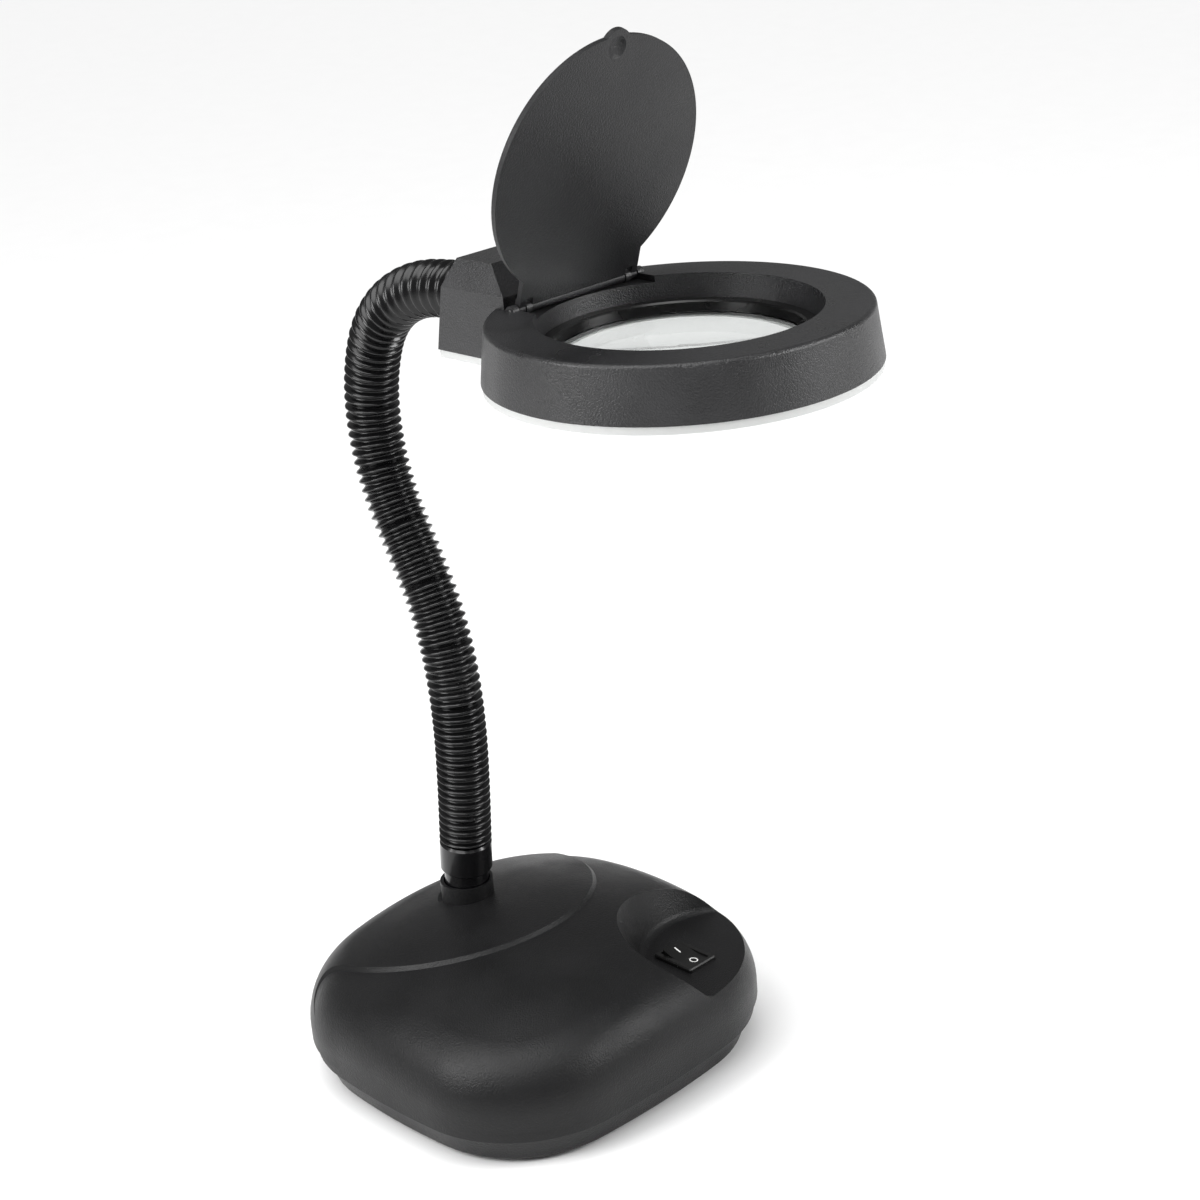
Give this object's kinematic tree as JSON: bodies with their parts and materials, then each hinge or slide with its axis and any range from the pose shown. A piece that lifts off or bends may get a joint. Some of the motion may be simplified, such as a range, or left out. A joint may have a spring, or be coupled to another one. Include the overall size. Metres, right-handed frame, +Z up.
{
  "type": "magnifying lamp",
  "caption": "Desk magnifying lamp: weighted base with rocker switch, ribbed flexible neck, ring-lit round lens head with hinged lens cover.",
  "frame": {"origin": "centre of the base footprint, on the surface the lamp stands on", "axes": "+Z up, -Y toward the front (the head reaches over -Y), +X to the right seen from the front"},
  "size_m": [0.168, 0.2594, 0.4217],
  "materials": {
    "black_base": "fine matte moulded texture",
    "foam": "closed-cell foam",
    "cast_iron": "rough cast",
    "zinc_steel": "zinc plated",
    "ballast_case": "white painted case",
    "switch_black": "semi-gloss",
    "brass": "bright",
    "soft_black": "soft moulded",
    "gloss_black": "gloss",
    "charcoal_shell": "satin, fine speckled texture",
    "opal_glass": "white phosphor coated",
    "white_plastic": "satin",
    "reflector_white": "white",
    "lens_glass": "clear polished",
    "black_ring": "semi-gloss",
    "clear_cover": "frosted clear",
    "charcoal_lid": "fine matte texture",
    "core_steel": "plated",
    "sleeve_black": "gloss ribbed sleeve"
  },
  "bodies": {
    "base": {"ballast": "ballast_case", "ballast_screws": "zinc_steel", "base_pan": "black_base", "base_screws": "zinc_steel", "base_top_shell": "black_base", "cable_inlet_bush": "soft_black", "counterweight": "cast_iron", "counterweight_screws": "zinc_steel", "foam_pad": "foam", "neck_core_00": "core_steel", "neck_lower_fitting": "gloss_black", "neck_lower_nut": "zinc_steel", "neck_lower_washer": "zinc_steel", "neck_sleeve_00": "sleeve_black", "switch_housing": "switch_black", "switch_terminals": "brass"},
    "rocker": {"switch_rocker": "switch_black"},
    "neck_link_01": {"neck_core_01": "core_steel", "neck_sleeve_01": "sleeve_black"},
    "neck_link_02": {"neck_core_02": "core_steel", "neck_sleeve_02": "sleeve_black"},
    "neck_link_03": {"neck_core_03": "core_steel", "neck_sleeve_03": "sleeve_black"},
    "neck_link_04": {"neck_core_04": "core_steel", "neck_sleeve_04": "sleeve_black"},
    "neck_link_05": {"neck_core_05": "core_steel", "neck_sleeve_05": "sleeve_black"},
    "neck_link_06": {"neck_core_06": "core_steel", "neck_sleeve_06": "sleeve_black"},
    "neck_link_07": {"neck_core_07": "core_steel", "neck_sleeve_07": "sleeve_black"},
    "neck_link_08": {"neck_core_08": "core_steel", "neck_sleeve_08": "sleeve_black"},
    "neck_link_09": {"neck_core_09": "core_steel", "neck_sleeve_09": "sleeve_black"},
    "neck_link_10": {"neck_core_10": "core_steel", "neck_sleeve_10": "sleeve_black"},
    "neck_link_11": {"neck_core_11": "core_steel", "neck_sleeve_11": "sleeve_black"},
    "head": {"neck_core_12": "core_steel", "neck_sleeve_12": "sleeve_black", "neck_upper_fitting": "zinc_steel", "neck_upper_washer": "zinc_steel", "neck_upper_nut": "zinc_steel", "head_housing": "charcoal_shell", "lamp_tube": "opal_glass", "lamp_cap": "white_plastic", "lamp_socket": "white_plastic", "reflector": "reflector_white", "lamp_clips": "zinc_steel", "magnifying_lens": "lens_glass", "lens_retaining_ring": "black_ring", "lower_cover": "clear_cover", "cover_screws": "zinc_steel", "lid_hinge_pins": "zinc_steel"},
    "lid": {"lens_lid": "charcoal_lid"}
  },
  "joints": [
    {"name": "neck_lower_bend", "type": "hinge", "parent": "base", "child": "neck_link_01", "pos_m": [0, 0.03225, 0.09813], "axis": [1, 0, 0], "range_deg": [-9, 9]},
    {"name": "neck_lower_sway", "type": "hinge", "parent": "neck_link_01", "child": "neck_link_02", "pos_m": [0, 0.03003, 0.12343], "axis": [0, -0.9976, -0.0698], "range_deg": [-9, 9]},
    {"name": "neck_lower_bend_03", "type": "hinge", "parent": "neck_link_02", "child": "neck_link_03", "pos_m": [0, 0.02959, 0.14882], "axis": [1, 0, 0], "range_deg": [-9, 9]},
    {"name": "neck_lower_sway_04", "type": "hinge", "parent": "neck_link_03", "child": "neck_link_04", "pos_m": [0, 0.03257, 0.17401], "axis": [0, -0.9799, 0.1994], "range_deg": [-9, 9]},
    {"name": "neck_lower_bend_05", "type": "hinge", "parent": "neck_link_04", "child": "neck_link_05", "pos_m": [0, 0.04051, 0.19808], "axis": [1, 0, 0], "range_deg": [-9, 9]},
    {"name": "neck_lower_sway_06", "type": "hinge", "parent": "neck_link_05", "child": "neck_link_06", "pos_m": [0, 0.05164, 0.22091], "axis": [0, -0.891, 0.454], "range_deg": [-9, 9]},
    {"name": "neck_upper_bend", "type": "hinge", "parent": "neck_link_06", "child": "neck_link_07", "pos_m": [0, 0.06009, 0.24478], "axis": [1, 0, 0], "range_deg": [-11, 11]},
    {"name": "neck_upper_sway", "type": "hinge", "parent": "neck_link_07", "child": "neck_link_08", "pos_m": [0, 0.06164, 0.27004], "axis": [0, -0.9962, -0.0872], "range_deg": [-10, 10]},
    {"name": "neck_upper_bend_09", "type": "hinge", "parent": "neck_link_08", "child": "neck_link_09", "pos_m": [0, 0.0551, 0.29445], "axis": [1, 0, 0], "range_deg": [-11, 11]},
    {"name": "neck_upper_sway_10", "type": "hinge", "parent": "neck_link_09", "child": "neck_link_10", "pos_m": [0, 0.03835, 0.31305], "axis": [0, -0.515, -0.8572], "range_deg": [-10, 10]},
    {"name": "neck_upper_bend_11", "type": "hinge", "parent": "neck_link_10", "child": "neck_link_11", "pos_m": [0, 0.01445, 0.32105], "axis": [1, 0, 0], "range_deg": [-11, 11]},
    {"name": "neck_upper_sway_12", "type": "hinge", "parent": "neck_link_11", "child": "head", "pos_m": [0, -0.0109, 0.32238], "axis": [0, 0, -1], "range_deg": [-10, 10]},
    {"name": "lid_hinge", "type": "hinge", "parent": "head", "child": "lid", "pos_m": [0, -0.0616, 0.32948], "axis": [-1, 0, 0], "range_deg": [-71.7, 38.3]},
    {"name": "rocker_hinge", "type": "hinge", "parent": "base", "child": "rocker", "pos_m": [0.0425, -0.047, 0.037], "axis": [1, 0, 0], "range_deg": [-18, 0]}
  ],
  "couplings": [
    {"joint": "neck_lower_bend_03", "follows": "neck_lower_bend", "ratio": 1},
    {"joint": "neck_lower_sway_04", "follows": "neck_lower_sway", "ratio": 1},
    {"joint": "neck_lower_bend_05", "follows": "neck_lower_bend", "ratio": 1},
    {"joint": "neck_lower_sway_06", "follows": "neck_lower_sway", "ratio": 1},
    {"joint": "neck_upper_bend_09", "follows": "neck_upper_bend", "ratio": 1},
    {"joint": "neck_upper_sway_10", "follows": "neck_upper_sway", "ratio": 1},
    {"joint": "neck_upper_bend_11", "follows": "neck_upper_bend", "ratio": 1},
    {"joint": "neck_upper_sway_12", "follows": "neck_upper_sway", "ratio": 1}
  ]
}
